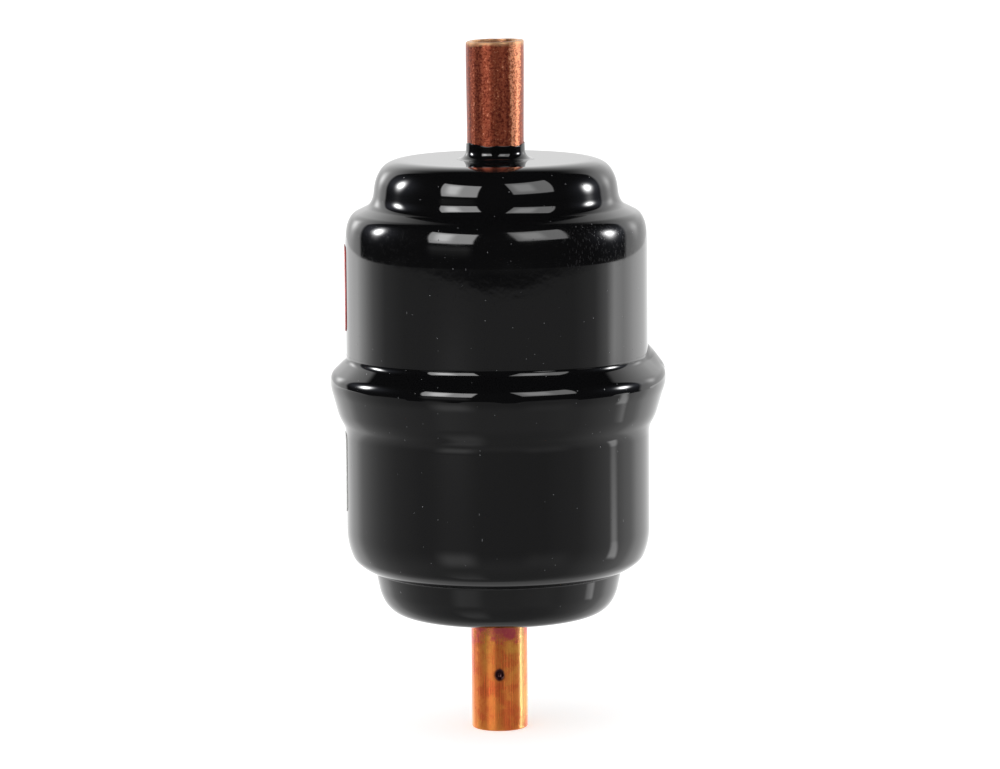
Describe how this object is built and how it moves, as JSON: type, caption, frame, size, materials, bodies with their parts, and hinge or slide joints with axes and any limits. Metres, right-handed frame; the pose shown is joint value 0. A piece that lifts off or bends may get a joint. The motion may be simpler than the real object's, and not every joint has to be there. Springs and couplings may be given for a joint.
{
  "type": "filter drier",
  "caption": "Sealed liquid-line filter drier: two welded steel cups with a solder socket at each end, holding a spring-held desiccant core, screens, felts and perforated plates.",
  "frame": {"origin": "on the can's axis at the outer end face of the outlet (lower) tube", "axes": "+Z along the axis from the outlet to the inlet, -Y towards the front with the tube-stop dimple, +X to the right seen from the front"},
  "size_m": [0.0474, 0.0472, 0.0973],
  "materials": {
    "aged_copper": "dull red-brown copper, mottled and oxidised",
    "bright_copper": "brighter orange copper with heat tints",
    "black_paint": "gloss black powder coat",
    "red_label": "satin red label with plain bands",
    "white_label": "satin white label with plain dark bars",
    "zinc_steel": "zinc-plated pressed steel",
    "screen_wire": "plain steel wire cloth",
    "polyester_mat": "white needled polyester",
    "felt": "off-white felt",
    "desiccant": "matt moulded desiccant, buff, slightly porous",
    "spring_steel": "oiled spring wire"
  },
  "bodies": {
    "root": {"inlet_tube": "aged_copper", "outlet_tube": "bright_copper", "inlet_shell": "black_paint", "outlet_shell": "black_paint", "seam_weld": "black_paint", "inlet_braze": "black_paint", "outlet_braze": "black_paint", "upper_label": "red_label", "lower_label": "white_label", "outlet_plate": "zinc_steel", "outlet_screen": "screen_wire", "filter_mat": "polyester_mat", "core_gasket": "felt", "desiccant_core": "desiccant", "inlet_felt": "felt", "inlet_screen": "screen_wire", "spring_plate": "zinc_steel", "spring": "spring_steel"}
  },
  "joints": []
}
